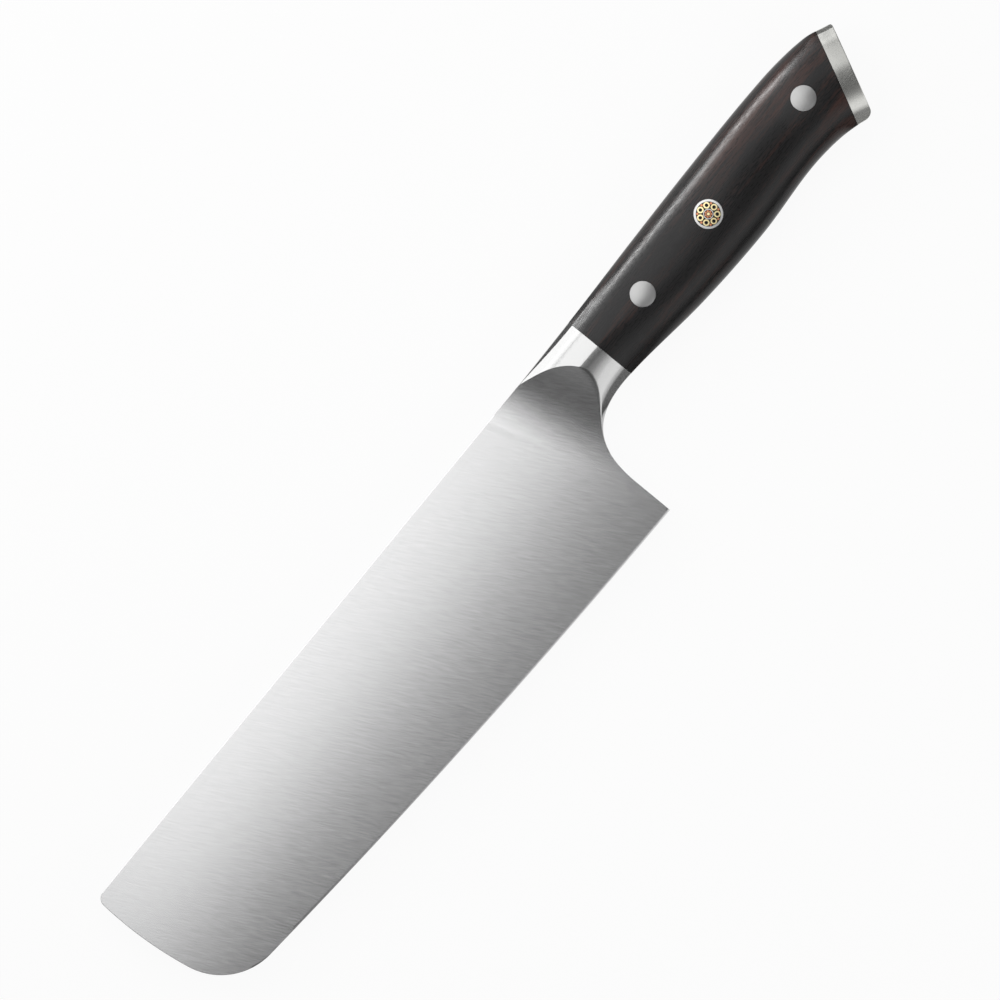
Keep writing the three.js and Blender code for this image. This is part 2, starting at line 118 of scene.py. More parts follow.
def bisect(low, high, tooFar):
    for _ in range(fine["halvings"]):
        mid = (low + high) / 2
        far = tooFar(mid)
        high = np.where(far, mid, high)
        low = np.where(far, low, mid)
    return (low + high) / 2


def alongHandle(name, x):
    # cubic through one value per station, with straight ends
    at = np.array(handle["stations"], float)
    value = np.array(handle[name], float)
    x = np.asarray(x, float)
    last = len(at) - 1
    hi = np.clip(np.searchsorted(at, x, side="right"), 1, last)
    lo = hi - 1
    span = at[hi] - at[lo]
    before = np.where(lo > 0, at[np.maximum(lo - 1, 0)], 2 * at[lo] - at[hi])
    after = np.where(hi < last, at[np.minimum(hi + 1, last)], 2 * at[hi] - at[lo])
    vBefore = np.where(lo > 0, value[np.maximum(lo - 1, 0)], value[hi])
    vAfter = np.where(hi < last, value[np.minimum(hi + 1, last)], value[lo])
    wBefore = 0.5 * span / (at[lo] - before)
    wAfter = 0.5 * span / (after - at[hi])
    p = (x - at[lo]) / span
    p2 = p * p
    p3 = p2 * p
    return (
        (-wBefore * p3 + 2 * wBefore * p2 - wBefore * p) * vBefore
        + ((1 + wBefore) * p3 + (-1.5 - 2 * wBefore) * p2 + (-0.5 + wBefore) * p + 1) * value[lo]
        + ((-1 - wAfter) * p3 + (1.5 + wAfter) * p2 + 0.5 * p) * value[hi]
        + (wAfter * p3 - wAfter * p2) * vAfter
    )


def choilPoint(t):
    o = outline
    corners = np.array([
        [o["heelX"], -o["choilStart"]],
        [o["heelX"], o["choilRise"] - o["choilStart"]],
        [-o["choilReach"], -o["choilTop"]],
        [0, handle["belly"][1]],
    ])
    t = np.asarray(t, float)[..., None]
    return (
        (1 - t) ** 3 * corners[0] + 3 * (1 - t) ** 2 * t * corners[1]
        + 3 * (1 - t) * t * t * corners[2] + t ** 3 * corners[3]
    )


def underLine(x):
    x = np.asarray(x, float)
    low = alongHandle("belly", x)
    if np.any(x < 0):
        t = bisect(np.zeros_like(x), np.ones_like(x), lambda t: choilPoint(t)[..., 0] > x)
        low = np.where(x < 0, choilPoint(t)[..., 1], low)
    return low


def middleLine(x):
    return (alongHandle("spine", x) + alongHandle("belly", x)) / 2 + alongHandle("ridge", x)


def sideReach(x, share):
    # from the middle line up to the spine, or down to the belly
    middle = middleLine(x)
    return np.where(share > 0, alongHandle("spine", x) - middle, middle - underLine(x))


def sideHeight(x, share):
    # share runs from 1 on the spine to -1 on the belly
    reach = sideReach(x, share)
    onTop = share > 0
    full = np.where(onTop, alongHandle("crown", x), alongHandle("under", x))
    wallShare = np.where(onTop, fadedIn(x, handle["wallFade"]), fadedIn(x, handle["bellyWall"]))
    wall = alongHandle("wall", x) * wallShare
    tall = alongHandle("half", x) - sideFace - wall
    z = tall * np.sqrt(np.maximum(0, 1 - np.abs(share) ** full))
    leaned = x - math.tan(cap["tilt"]) * (middleLine(x) + share * reach)
    corner = np.maximum(1 - smooth(x / handle["cornerFront"]), fadedIn(leaned, handle["cornerRear"]))
    corner = corner * np.where(onTop, 1, fadedIn(x, handle["choilFade"]))
    if np.any(corner > 0):
        z = z + corner * (squareCorner(x, share, reach, full, tall) - z)
    return sideFace + z + wall


def edgeSlant(name, x):
    step = fine["slantStep"]
    x = np.clip(x, 0, handle["stations"][-1] - 2 * step)
    return (alongHandle(name, x + step) - alongHandle(name, x)) / step


def squareCorner(x, share, reach, full, tall):
    # the crowned side stops at a steepest slope, then a chamfer and a small radius
    onTop = share > 0
    slant = np.where(onTop, edgeSlant("spine", x), edgeSlant("belly", x))
    plan = 1 / np.sqrt(1 + slant ** 2)
    topSteepest, lowSteepest = (math.tan(angle) for angle in handle["steepest"])
    steepest = np.where(onTop, topSteepest, lowSteepest) * plan
    share = np.abs(share)

    def tooSteep(s):
        return tall / reach * full / 2 * s ** (full - 1) > steepest * np.sqrt(1 - s ** full)

    bend = bisect(np.zeros_like(share), np.ones_like(share), tooSteep)
    bowed = tall * np.sqrt(1 - np.minimum(share, bend) ** full)
    past = np.maximum(0, share - bend) * reach
    inside = (1 - share) * reach
    chamfer = np.maximum(0, alongHandle("chamfer", x) - inside) * np.where(onTop, 1, 0)
    drop = past * steepest + chamfer * np.maximum(0, math.tan(handle["chamferSlope"]) * plan - steepest)
    turned = np.clip(1 - inside / handle["cornerRadius"], 0, 1)
    return bowed - drop - handle["cornerRadius"] * (1 - np.sqrt(1 - turned ** 2))


def handlePoint(x, turn):
    # left side of the handle: turn 0 on the spine, 1 on the belly
    x, turn = np.broadcast_arrays(np.asarray(x, float), np.asarray(turn, float))
    share = np.cos(np.pi * turn)
    return np.stack([x, middleLine(x) + share * sideReach(x, share), sideHeight(x, share)], axis=-1)


def formHeight(x, y):
    off = y - middleLine(x)
    return sideHeight(x, np.clip(off / sideReach(x, off), -1, 1))


def leanedPoint(crossing, lean, turn):
    # on a cut across the handle that leans towards the butt
    point = handlePoint(crossing + 0 * turn, turn)
    for _ in range(fine["leanSteps"]):
        point = handlePoint(crossing + math.tan(lean) * point[..., 1], turn)
    return point


noseTaper = (plate["spine"] - plate["tip"]) / 2 / (-ramp["ahead"] - outline["noseX"])
edgeTaper = (
    tangHalf + noseTaper * (outline["heelX"] + ramp["ahead"]) - plate["edge"] / 2
) / outline["heelHeight"]


def groundHeight(x, y):
    # ground side of the plate: a faintly crowned flat that runs out in the wheel's hollow
    flat = tangHalf + noseTaper * (x + ramp["ahead"]) + edgeTaper * y
    deep = np.clip(-y / outline["heelHeight"], 0, 1)
    flat = flat + plate["crown"] * 4 * deep * (1 - deep)
    a = (x + ramp["ahead"]) * math.cos(ramp["slant"]) + y * math.sin(ramp["slant"])
    a = np.clip(a, 0, ramp["radius"] * ramp["furthest"])
    return flat + ramp["radius"] - np.sqrt(ramp["radius"] ** 2 - a * a)


def toFrame(points):
    return np.asarray(points, float) * mm + np.array(knifeZero)


def meshObject(name, points, faces, materials, faceSlots=None, creaseAngle=fine["crease"]):
    mesh = bpy.data.meshes.new(name)
    mesh.from_pydata([tuple(p) for p in toFrame(points)], [], [tuple(f) for f in faces])
    for material in materials:
        mesh.materials.append(material)
    if faceSlots is not None:
        mesh.polygons.foreach_set("material_index", np.array(faceSlots, np.int32))
    body = bmesh.new()
    body.from_mesh(mesh)
    bmesh.ops.remove_doubles(body, verts=body.verts, dist=fine["merge"])
    bmesh.ops.dissolve_degenerate(body, edges=body.edges, dist=fine["sliver"])
    bmesh.ops.recalc_face_normals(body, faces=body.faces)
    body.to_mesh(mesh)
    body.free()
    finishMesh(mesh, creaseAngle)
    made = bpy.data.objects.new(name, mesh)
    bpy.context.scene.collection.objects.link(made)
    return made


def finishMesh(mesh, creaseAngle):
    mesh.polygons.foreach_set("use_smooth", np.ones(len(mesh.polygons), bool))
    mesh.set_sharp_from_angle(angle=math.radians(creaseAngle))
    mesh.update()


def bakeModifiers(piece, creaseAngle):
    bpy.context.view_layer.update()
    evaluated = piece.evaluated_get(bpy.context.evaluated_depsgraph_get())
    mesh = bpy.data.meshes.new_from_object(evaluated)
    piece.modifiers.clear()
    piece.data = mesh
    finishMesh(mesh, creaseAngle)


def standFor(piece, slotName, *cadNodes):
    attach(piece, "root")
    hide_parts(*cadNodes)


def gridFaces(rows, columns, start=0):
    return [
        (start + i * columns + j, start + i * columns + j + 1,
         start + (i + 1) * columns + j + 1, start + (i + 1) * columns + j)
        for i in range(rows - 1) for j in range(columns - 1)
    ]


def backedSheet(grid, innerZ):
    # closes a sheet that stands over the plate: the same grid at the inner face, and walls between
    rows, columns = grid.shape[:2]
    count = rows * columns
    inner = grid.copy()
    inner[..., 2] = innerZ
    points = np.concatenate([grid.reshape(-1, 3), inner.reshape(-1, 3)])
    outerFaces = gridFaces(rows, columns)
    innerFaces = [tuple(reversed(f)) for f in gridFaces(rows, columns, count)]
    rim = list(range(columns))
    rim += [i * columns + columns - 1 for i in range(1, rows)]
    rim += [(rows - 1) * columns + j for j in range(columns - 2, -1, -1)]
    rim += [i * columns for i in range(rows - 2, 0, -1)]
    walls = [(a, a + count, b + count, b) for a, b in zip(rim, rim[1:] + rim[:1])]
    return points, outerFaces, innerFaces, walls


def mirrored(points):
    flipped = np.array(points, float)
    flipped[:, 2] *= -1
    return flipped


# materials, lengths in metres

noiseSpan = (0.3, 0.7)  # nearly all of a noise lies in here


def newMaterial(name, **sockets):
    made = bpy.data.materials.new(name)
    made.use_nodes = True
    shader = made.node_tree.nodes["Principled BSDF"]
    for key, value in sockets.items():
        shader.inputs[key].default_value = value
    return made, made.node_tree, shader


def node(tree, kind, **values):
    made = tree.nodes.new(kind)
    for key, value in values.items():
        if key in made.inputs:
            made.inputs[key].default_value = value
        else:
            setattr(made, key, value)
    return made


def feed(tree, sockets, values):
    for socket, value in zip(sockets, values):
        if isinstance(value, (int, float)):
            socket.default_value = value
        else:
            tree.links.new(value, socket)


def combined(tree, operation, *values):
    made = node(tree, "ShaderNodeMath", operation=operation)
    feed(tree, made.inputs, values)
    return made.outputs[0]


def stretched(tree, turn, lengths, start=(0, 0, 0)):
    # pattern space from start, whose first axis runs along turn, one unit per length
    coordinate = node(tree, "ShaderNodeTexCoord")
    mapping = node(tree, "ShaderNodeMapping", vector_type="TEXTURE")
    mapping.inputs["Location"].default_value = start
    mapping.inputs["Rotation"].default_value = (0, 0, turn)
    mapping.inputs["Scale"].default_value = lengths
    tree.links.new(coordinate.outputs["Object"], mapping.inputs["Vector"])
    return mapping.outputs["Vector"]


def grain(tree, lengths, turn=0, **look):
    made = node(tree, "ShaderNodeTexNoise", Scale=1.0, **look)
    tree.links.new(stretched(tree, turn, lengths), made.inputs["Vector"])
    return made.outputs["Fac"]


def ranged(tree, value, low, high, outLow, outHigh):
    made = node(tree, "ShaderNodeMapRange")
    for key, number in (("From Min", low), ("From Max", high), ("To Min", outLow), ("To Max", outHigh)):
        made.inputs[key].default_value = number
    tree.links.new(value, made.inputs["Value"])
    return made.outputs["Result"]


def spread(tree, noise, low, high):
    return ranged(tree, noise, *noiseSpan, low, high)


satin = {
    "colour": (0.58, 0.58, 0.583, 1), "roughness": (0.21, 0.25), "anisotropy": 0.5, "shade": (0.91, 1.08),
    "brushTurn": math.radians(-64), "brush": (0.005, 0.0002, 0.0002), "depth": 0.0000004,
    "mapScale": 10.0, "mapShift": 5.0,
    # painted highlight and shade: lighter and darker shares, by millimetres from the start of the ramp
    "paintedRampLine": ((-1.6, 0.0), (-0.1, -0.05), (0.9, 0.035), (2.6, 0.0)), "paintedLineMost": 0.1,
    "paintedLineFade": (-20.0, -5.0),
}


def paintedRampLine(tree):
    # painted highlight and shade in a faint line across the blade where the hollow grind starts, fading
    # towards the edge
    split = node(tree, "ShaderNodeSeparateXYZ")
    start = toFrame((-ramp["ahead"], 0, 0))
    tree.links.new(stretched(tree, ramp["slant"], (mm, mm, mm), start), split.inputs[0])
    stops = satin["paintedRampLine"]
    most = satin["paintedLineMost"]
    first, last = stops[0][0], stops[-1][0]
    profile = node(tree, "ShaderNodeFloatCurve")
    points = profile.mapping.curves[0].points
    for place, level in stops:
        at = ((place - first) / (last - first), 0.5 + level / (2 * most))
        if place == first:
            points[0].location = at
        elif place == last:
            points[-1].location = at
        else:
            points.new(*at)
    profile.mapping.update()
    tree.links.new(ranged(tree, split.outputs["X"], first, last, 0, 1), profile.inputs["Value"])
    line = ranged(tree, profile.outputs[0], 0, 1, -most, most)
    fade = ranged(tree, split.outputs["Y"], *satin["paintedLineFade"], 0, 1)
    return combined(tree, "ADD", combined(tree, "MULTIPLY", line, fade), 1.0)


def makeSatinSteel():
    made, tree, shader = newMaterial(
        "satinSteel", **{"Base Color": satin["colour"], "Metallic": 1.0, "Anisotropic": satin["anisotropy"]}
    )
    link = tree.links.new
    lines = grain(tree, satin["brush"], satin["brushTurn"], Detail=2.0, Roughness=0.6)
    link(spread(tree, lines, *satin["roughness"]), shader.inputs["Roughness"])
    # tone of the brush lines, times the painted highlight and shade of the line at the ramp start
    shade = combined(tree, "MULTIPLY", spread(tree, lines, *satin["shade"]), paintedRampLine(tree))
    tint = node(tree, "ShaderNodeVectorMath", operation="SCALE")
    tint.inputs[0].default_value = satin["colour"][:3]
    link(shade, tint.inputs["Scale"])
    link(tint.outputs[0], shader.inputs["Base Color"])
    bump = node(tree, "ShaderNodeBump", Strength=1.0, Distance=satin["depth"])
    link(lines, bump.inputs["Height"])
    link(bump.outputs["Normal"], shader.inputs["Normal"])
    across = node(tree, "ShaderNodeTangent", direction_type="UV_MAP", uv_map="brush")
    link(across.outputs["Tangent"], shader.inputs["Tangent"])
    return made


def brushUv(piece):
    # first UV axis runs across the brush lines
    mesh = piece.data
    layer = mesh.uv_layers.new(name="brush")
    points = np.zeros(len(mesh.vertices) * 3)
    mesh.vertices.foreach_get("co", points)
    points = points.reshape(-1, 3)
    corner = np.zeros(len(mesh.loops), np.int32)
    mesh.loops.foreach_get("vertex_index", corner)
    turn = satin["brushTurn"]
    u = -points[:, 0] * math.sin(turn) + points[:, 1] * math.cos(turn)
    v = -points[:, 0] * math.cos(turn) - points[:, 1] * math.sin(turn)
    placed = np.stack([u, v], axis=1)[corner] * satin["mapScale"] + satin["mapShift"]
    layer.data.foreach_set("uv", placed.ravel())


wood = {
    "roughness": (0.23, 0.37), "gloss": 0.32, "poreDepth": 0.000025, "poreStrength": 0.35,
    "colours": ((0.47, (0.0095, 0.0091, 0.0094, 1)), (0.72, (0.042, 0.0195, 0.0155, 1))),
    "figure": (0.06, 0.0036, 0.0036), "figureTurn": math.radians(2),
    "fibre": (0.02, 0.0005, 0.0005), "fibreTurn": math.radians(1), "fibreShare": (-0.09, 0.09),
    "pores": (0.0022, 0.00034, 0.00034), "poreShare": (-0.07, 0.07),
    "redder": (0.05, 0.16, -0.11, 0.07),  # from and to along x, and the share at each
}


def makeEbony():
    made, tree, shader = newMaterial("ebony", **{"Specular IOR Level": wood["gloss"]})
    link = tree.links.new
    figure = grain(tree, wood["figure"], wood["figureTurn"], Detail=4.0, Roughness=0.5, Distortion=0.5)
    fibre = grain(tree, wood["fibre"], wood["fibreTurn"], Detail=2.0)
    pores = grain(tree, wood["pores"], Detail=2.0)
    # redder heart towards the butt
    place = node(tree, "ShaderNodeTexCoord")
    split = node(tree, "ShaderNodeSeparateXYZ")
    link(place.outputs["Object"], split.inputs[0])
    total = combined(tree, "ADD", figure, ranged(tree, split.outputs["X"], *wood["redder"]))
    total = combined(tree, "ADD", total, spread(tree, fibre, *wood["fibreShare"]))
    total = combined(tree, "ADD", total, spread(tree, pores, *wood["poreShare"]))
    colours = node(tree, "ShaderNodeValToRGB")
    for k, (level, colour) in enumerate(wood["colours"]):
        colours.color_ramp.elements[k].position = level
        colours.color_ramp.elements[k].color = colour
    link(total, colours.inputs["Fac"])
    link(colours.outputs["Color"], shader.inputs["Base Color"])
    link(spread(tree, pores, *wood["roughness"]), shader.inputs["Roughness"])
    bump = node(tree, "ShaderNodeBump", Strength=wood["poreStrength"], Distance=wood["poreDepth"])
    link(pores, bump.inputs["Height"])
    link(bump.outputs["Normal"], shader.inputs["Normal"])
    return made


pinMarks = {"grain": (0.003, 0.00015, 0.00015), "turn": math.radians(20)}
finishes = {
    "polishedSteel": {
        "colour": (0.51, 0.51, 0.508, 1), "roughness": (0.17, 0.21), "grain": (0.0006, 0.0006, 0.0006),
        "detail": 4.0,
    },
    "capSteel": {
        "colour": (0.55, 0.55, 0.527, 1), "roughness": (0.23, 0.28), "grain": (0.004, 0.0003, 0.0003),
    },
    "rivetSteel": {"colour": (0.43, 0.43, 0.428, 1), "roughness": (0.34, 0.38), **pinMarks},
    "tubeSteel": {"colour": (0.68, 0.68, 0.675, 1), "roughness": (0.32, 0.36), **pinMarks},
    "brass": {"colour": (0.93, 0.79, 0.44, 1), "roughness": (0.28, 0.32), **pinMarks},
    "copper": {"colour": (0.62, 0.26, 0.14, 1), "roughness": (0.3, 0.34), **pinMarks},
    "blackResin": {
        "colour": (0.004, 0.004, 0.0045, 1), "roughness": (0.4, 0.55), "grain": (0.0004, 0.0004, 0.0004),
        "metal": 0.0, "gloss": 0.2,
    },
}


def makeFinish(name):
    # even finish whose roughness follows fine marks
    look = {"turn": 0, "detail": 3.0, "metal": 1.0, "gloss": 0.5, **finishes[name]}
    made, tree, shader = newMaterial(name, **{
        "Base Color": look["colour"], "Metallic": look["metal"], "Specular IOR Level": look["gloss"],
    })
    marks = grain(tree, look["grain"], look["turn"], Detail=look["detail"])
    tree.links.new(spread(tree, marks, *look["roughness"]), shader.inputs["Roughness"])
    return made


satinSteel = makeSatinSteel()
ebony = makeEbony()
finish = {name: makeFinish(name) for name in finishes}
print("materials ready")

# blade

blade = {
    "along": 200, "down": 120, "easedEdge": 0.12, "easedDrop": 0.06, "bevel": 0.6, "bevelStart": 0.05,
    "noseSteps": (60, 200, 120), "featherSteps": 160, "choilSteps": 120, "heelSteps": 60,
    "featherFrom": -45.0, "crease": 25,
    "tangSteps": 240, "tangInset": 0.03, "tangLead": 0.1, "tangLap": 0.8, "tangFloor": -20.0,
}


def arc(centre, radius, start, end, count):
    angle = np.linspace(start, end, count)
    out = np.stack([np.cos(angle), np.sin(angle)], axis=1)
    return np.array(centre) + radius * out, out


def resample(points, extra, count):
    step = np.linalg.norm(np.diff(points, axis=0), axis=1)
    at = np.concatenate([[0], np.cumsum(step)])
    want = np.linspace(0, at[-1], count)
    columns = np.concatenate([points, extra], axis=1)
    made = np.stack([np.interp(want, at, c) for c in columns.T], axis=1)
    return made[:, :points.shape[1]], made[:, points.shape[1]:]


def featherX(y):
    # where the hollow has risen to the bolster's inner face
    y = np.asarray(y, float)
    start = np.full_like(y, blade["featherFrom"])
    return bisect(start, np.zeros_like(y), lambda x: groundHeight(x, y) > sideFace)


def angleOf(v):
    return math.atan2(v[1], v[0]) % (2 * math.pi)


def noseAndEdge():
    # three arcs round the nose and one along the cutting edge, each touching the next
    o = outline
    noseCentre = np.array([o["noseX"] + o["noseRadius"], -o["noseDrop"]])
    edgeCentre = np.array([
        o["heelX"] + o["edgeLowPoint"],
        -o["heelHeight"] + math.sqrt(o["edgeRadius"] ** 2 - o["edgeLowPoint"] ** 2),
    ])
    noseReach = o["noseRadius"] - o["noseEdgeRadius"]
    edgeReach = o["edgeRadius"] - o["noseEdgeRadius"]
    line = edgeCentre - noseCentre
    span = np.linalg.norm(line)
    foot = (noseReach ** 2 - edgeReach ** 2 + span ** 2) / (2 * span)
    side = math.sqrt(noseReach ** 2 - foot ** 2)
    line /= span
    across = np.array([-line[1], line[0]])
    across *= -np.sign(across[0])
    cornerCentre = noseCentre + line * foot + across * side
    spineBack = math.sqrt(
        (o["noseRadius"] - o["noseSpineRadius"]) ** 2 - (o["noseDrop"] - o["noseSpineRadius"]) ** 2
    )
    spineCentre = np.array([noseCentre[0] - spineBack, -o["noseSpineRadius"]])
    spineTurn = angleOf(spineCentre - noseCentre)
    noseTurn = angleOf(cornerCentre - noseCentre)
    edgeTurn = angleOf(cornerCentre - edgeCentre)
    heelTurn = angleOf(np.array([o["heelX"], -o["heelHeight"]]) - edgeCentre)
    spineSteps, noseSteps, edgeSteps = blade["noseSteps"]
    arcs = [
        arc(spineCentre, o["noseSpineRadius"], math.pi / 2, spineTurn, spineSteps),
        arc(noseCentre, o["noseRadius"], spineTurn, noseTurn, noseSteps),
        arc(cornerCentre, o["noseEdgeRadius"], noseTurn, edgeTurn, edgeSteps),
    ]
    nose = resample(
        np.concatenate([a[0] for a in arcs]), np.concatenate([a[1] for a in arcs]), blade["down"] + 1
    )
    edge = arc(edgeCentre, o["edgeRadius"], edgeTurn, heelTurn, blade["along"] + 1)
    return nose, edge, spineCentre[0]


def rearEnd():
    # the feather line under the bolster, then the choil and the heel
    choilT = bisect(np.array(0.0), np.array(1.0), lambda t: groundHeight(*choilPoint(t).T) > sideFace)
    featherEnd = choilPoint(choilT)
    featherY = np.linspace(0, featherEnd[1], blade["featherSteps"])
    feather = np.stack([featherX(featherY), featherY], axis=1)
    choil = choilPoint(np.linspace(float(choilT), 0, blade["choilSteps"]))
    heelY = np.linspace(-outline["choilStart"], -outline["heelHeight"], blade["heelSteps"])
    heel = np.stack([np.full_like(heelY, outline["heelX"]), heelY], axis=1)
    edgeSide = np.concatenate([choil[1:], heel[1:]])
    way = np.gradient(edgeSide, axis=0)
    out = np.stack([-way[:, 1], way[:, 0]], axis=1)
    out /= np.linalg.norm(out, axis=1, keepdims=True)
    outward = np.concatenate([np.zeros_like(feather), out])
    return resample(np.concatenate([feather, edgeSide]), outward, blade["down"] + 1), featherEnd


def makeBlade():
    (left, leftOut), (bottom, bottomOut), spineStart = noseAndEdge()
    (right, rightOut), featherEnd = rearEnd()
    topX = np.linspace(spineStart, right[0, 0], blade["along"] + 1)
    top = np.stack([topX, np.zeros_like(topX)], axis=1)
    topOut = np.tile([0.0, 1.0], (blade["along"] + 1, 1))

    # the face stops short of the outline by the eased edge, or by the bevel along the cutting edge
    ease, drop = blade["easedEdge"], blade["easedDrop"]
    sharp = smooth(np.linspace(0, 1, blade["along"] + 1) / blade["bevelStart"])
    inset = ease + (blade["bevel"] - ease) * sharp
    topIn = top - topOut * ease
    leftIn = left - leftOut * ease
    bottomIn = bottom - bottomOut * inset[:, None]
    rightIn = right - rightOut * ease
    rightIn[0] = topIn[-1]
    bottomIn[-1, 0] = rightIn[-1, 0]
    rightIn[:, 1] = np.maximum(rightIn[:, 1], bottomIn[-1, 1])
    rightIn[-1] = bottomIn[-1]

    u = np.linspace(0, 1, blade["along"] + 1)[None, :, None]
    v = np.linspace(0, 1, blade["down"] + 1)[:, None, None]
    flat = (
        (1 - v) * topIn[None] + v * bottomIn[None] + (1 - u) * leftIn[:, None] + u * rightIn[:, None]
        - (1 - u) * (1 - v) * topIn[0] - u * (1 - v) * topIn[-1]
        - (1 - u) * v * bottomIn[0] - u * v * bottomIn[-1]
    )
    rows, columns = flat.shape[:2]
    count = rows * columns
    z = groundHeight(flat[..., 0], flat[..., 1])
    face = np.concatenate([flat, z[..., None]], axis=-1).reshape(-1, 3)

    # walk round the face: outline point and its height for every border point
    border, rim = [], []

    def walk(index, place, height):
        border.append(index)
        rim.append((place[0], place[1], height))

    for j in range(columns):
        walk(j, top[j], z[0, j] - drop)
    for i in range(1, rows):
        inside = not rightOut[i].any()
        place = rightIn[i] if inside else right[i]
        walk(i * columns + columns - 1, place, z[i, -1] - (0 if inside else drop))
    rim[-1] = (right[-1, 0], right[-1, 1], 0.0)
    for j in range(columns - 2, -1, -1):
        walk((rows - 1) * columns + j, bottom[j], (z[-1, j] - drop) * (1 - sharp[j]))
    for i in range(rows - 2, 0, -1):
        walk(i * columns, left[i], z[i, 0] - drop)
    rim = np.array(rim)
    points = np.concatenate([face, mirrored(face), rim, mirrored(rim)])
    faces = gridFaces(rows, columns) + [tuple(reversed(f)) for f in gridFaces(rows, columns, count)]
    n = len(border)
    leftRim, rightRim = 2 * count, 2 * count + n
    for k in range(n):
        m = (k + 1) % n
        faces.append((border[k], border[m], leftRim + m, leftRim + k))
        faces.append((leftRim + k, leftRim + m, rightRim + m, rightRim + k))
        faces.append((rightRim + k, rightRim + m, border[m] + count, border[k] + count))

    # tang: flush with the handle's outline, slanted where it meets the butt cap
    steps = blade["tangSteps"]
    ends = leanedPoint(capFront, cap["tilt"], np.array([0.0, 1.0]))[:, 0]
    starts = featherX(np.array([0.0, blade["tangFloor"]])) - blade["tangLead"]
    tang = []
    for s in np.linspace(0, 1, steps):
        xTop, xLow = starts + (ends - starts) * s
        yTop = float(alongHandle("spine", xTop)) - blade["tangInset"]
        yLow = blade["tangFloor"]
        if xLow > featherEnd[0] - blade["tangLap"]:
            yLow = float(underLine(xLow)) + blade["tangInset"]
        tang += [(xTop, yTop, tangHalf), (xTop, yTop, -tangHalf)]
        tang += [(xLow, yLow, -tangHalf), (xLow, yLow, tangHalf)]
    base = len(points)
    points = np.concatenate([points, tang])
    for i in range(steps - 1):
        for k in range(4):
            a, b = base + 4 * i + k, base + 4 * i + (k + 1) % 4
            faces.append((a, b, b + 4, a + 4))
    faces.append((base, base + 1, base + 2, base + 3))
    faces.append(tuple(base + 4 * (steps - 1) + k for k in (3, 2, 1, 0)))
    return meshObject("bladePlate", points, faces, [satinSteel], creaseAngle=blade["crease"])


bladePlate = makeBlade()
brushUv(bladePlate)
standFor(bladePlate, "satin_steel", "blade")
print("blade", len(bladePlate.data.polygons), "faces")

# bolster halves: ground hollow up to the crest line, polished behind it

bolster = {
    "turns": 160, "hollow": 44, "crown": 66, "packing": 1.7, "crease": 12,
    "crest": 0.02, "softCrest": 0.5, "softFrom": (0.47, 0.1), "softTo": (0.7, 0.25), "softLoss": 0.8,
}


def makeBolsters():
    turn = np.linspace(0, 1, bolster["turns"] + 1)

    def pastCrest(x):
        point = handlePoint(x, turn)
        return groundHeight(point[:, 0], point[:, 1]) > point[:, 2]

    crestX = bisect(np.full_like(turn, -ramp["ahead"]), np.zeros_like(turn), pastCrest)
    crest = handlePoint(crestX, turn)
    feather = np.minimum(featherX(crest[:, 1]), crestX)
    # the crest is rounded below the middle, and less again towards the belly
    lessened = 1 - bolster["softLoss"] * fadedIn(turn, bolster["softTo"])
    soft = bolster["crest"] + bolster["softCrest"] * fadedIn(turn, bolster["softFrom"]) * lessened
    columns = []

    def column(x, y):
        ground, form = groundHeight(x, y), formHeight(x, y)
        share = np.clip(0.5 + 0.5 * (form - ground) / soft, 0, 1)
        height = form * (1 - share) + ground * share - soft * share * (1 - share)
        columns.append(np.stack([x, y, height], axis=1))

    for t in np.linspace(0, 1, bolster["hollow"] + 1):
        column(feather + (crestX - feather) * (1 - (1 - t) ** bolster["packing"]), crest[:, 1])
    for t in np.linspace(0, 1, bolster["crown"] + 1)[1:]:
        point = handlePoint(crestX * (1 - t ** bolster["packing"]), turn)
        column(point[:, 0], point[:, 1])
    grid = np.stack(columns, axis=1)
    points, outer, inner, walls = backedSheet(grid, tangHalf)
    width = grid.shape[1] - 1
    slots = [0 if k % width < bolster["hollow"] else 1 for k in range(len(outer))]
    slots += [1] * (len(inner) + len(walls))
    metals = [satinSteel, finish["polishedSteel"]]
    return [
        meshObject(name, side, outer + inner + walls, metals, slots, bolster["crease"])
        for name, side in (("bolsterLeft", points), ("bolsterRight", mirrored(points)))
    ]


for piece, cadNode in zip(makeBolsters(), ("bolster_left", "bolster_right")):
    brushUv(piece)
    standFor(piece, "polished_steel", cadNode)
print("bolsters")

# wooden scales

scales = {"rings": 260, "turns": 110, "innerGap": 0.01, "crease": 40}


def scaleGrid():
    turn = np.linspace(0, 1, scales["turns"] + 1)
    rings = []
    for s in np.linspace(0, 1, scales["rings"] + 1):
        rings.append(leanedPoint(plate["glue"] * (1 - s) + capFront * s, cap["tilt"] * s, turn))
    return np.stack(rings)


def cutHoles(piece):
    cutters = []
    for x, diameter in (
        (pins["frontAt"], pins["rivet"]), (pins["mosaicAt"], pins["mosaic"]), (pins["rearAt"], pins["rivet"]),
    ):
        radius = (diameter / 2 + pins["fit"]) * mm
        body = bmesh.new()
        bmesh.ops.create_cone(
            body, cap_ends=True, segments=pins["holeSides"], radius1=radius, radius2=radius,
            depth=pins["holeDepth"] * mm,
        )
        mesh = bpy.data.meshes.new("cutter")
        body.to_mesh(mesh)
        body.free()
        mesh.transform(Matrix.Translation(toFrame((x, -pins["drop"], 0))))
        cutter = bpy.data.objects.new("cutter", mesh)
        bpy.context.scene.collection.objects.link(cutter)
        cutters.append(cutter)
        modifier = piece.modifiers.new("hole", "BOOLEAN")
        modifier.operation = "DIFFERENCE"
        modifier.solver = "EXACT"
        modifier.object = cutter
    bakeModifiers(piece, scales["crease"])
    for cutter in cutters:
        bpy.data.objects.remove(cutter)


